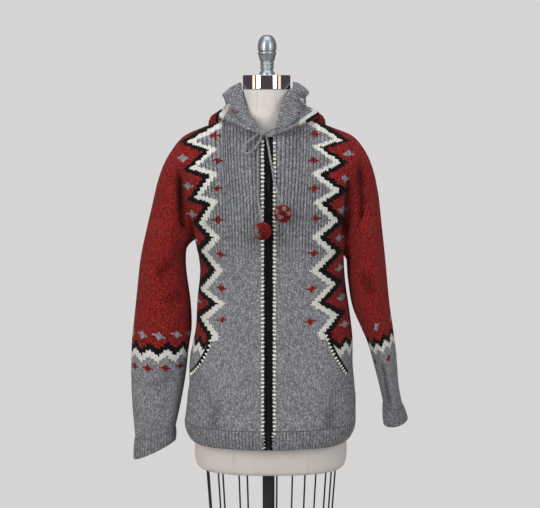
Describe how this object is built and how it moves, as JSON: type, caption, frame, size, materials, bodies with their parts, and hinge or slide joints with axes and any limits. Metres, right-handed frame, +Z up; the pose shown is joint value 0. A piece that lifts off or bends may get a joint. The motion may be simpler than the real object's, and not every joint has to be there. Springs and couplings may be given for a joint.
{
  "type": "zip cardigan on a limbless dress form",
  "caption": "Hooded hand-knit zip cardigan with slant pockets and pompom drawstring, worn by a limbless dress form on a pole stand with a wire cage.",
  "frame": {"origin": "middle of the base's flat underside, on the floor", "axes": "+Z up along the pole; the zip and the open face of the hood look towards -Y; the wearer's left is +X"},
  "size_m": [0.6104, 0.3566, 1.5568],
  "materials": {
    "grey_knit": "hand-knit blue-grey marled wool",
    "red_knit": "hand-knit brick red wool with light flecks",
    "black_knit": "hand-knit black wool",
    "cream_knit": "hand-knit cream wool",
    "zip_metal": "blackened metal zip",
    "ivory_linen": "ivory linen, stretched over the form",
    "mirror_chrome": "mirror polish",
    "silver_paint": "satin silver paint",
    "black_paint": "satin black paint"
  },
  "bodies": {
    "garment_and_form": {"back": "red_knit", "base": "black_paint", "cage_collar": "black_paint", "cage_ring": "black_paint", "cage_spoke_back": "black_paint", "cage_spoke_front": "black_paint", "cage_spoke_left": "black_paint", "cage_spoke_right": "black_paint", "cage_wire_01": "black_paint", "cage_wire_02": "black_paint", "cage_wire_03": "black_paint", "cage_wire_04": "black_paint", "cage_wire_05": "black_paint", "cage_wire_06": "black_paint", "cage_wire_07": "black_paint", "cage_wire_08": "black_paint", "cage_wire_09": "black_paint", "cage_wire_10": "black_paint", "cage_wire_11": "black_paint", "cage_wire_12": "black_paint", "cage_wire_13": "black_paint", "cage_wire_14": "black_paint", "cuff_left": "grey_knit", "cuff_right": "grey_knit", "drawstring_bow": "grey_knit", "drawstring_knot": "grey_knit", "drawstring_left": "grey_knit", "drawstring_right": "grey_knit", "drawstring_tie": "grey_knit", "finial": "silver_paint", "form_torso": "ivory_linen", "front_left": "grey_knit", "front_right": "grey_knit", "hem_band": "grey_knit", "hood": "grey_knit", "hood_band": "grey_knit", "neck_cap": "mirror_chrome", "pocket_edge_left": "cream_knit", "pocket_edge_right": "cream_knit", "pole": "black_paint", "pompom_left": "red_knit", "pompom_right": "red_knit", "sleeve_left": "red_knit", "sleeve_right": "red_knit", "zip_band_left": "black_knit", "zip_band_right": "black_knit", "zip_chain": "zip_metal", "zip_slider": "zip_metal"},
    "zip_pull": {"zip_pull_tab": "zip_metal"}
  },
  "joints": [
    {"name": "pull_tab_swing", "type": "hinge", "parent": "garment_and_form", "child": "zip_pull", "pos_m": [0, -0.11513, 1.252], "axis": [-1, 0, 0], "range_deg": [0, 160]}
  ]
}
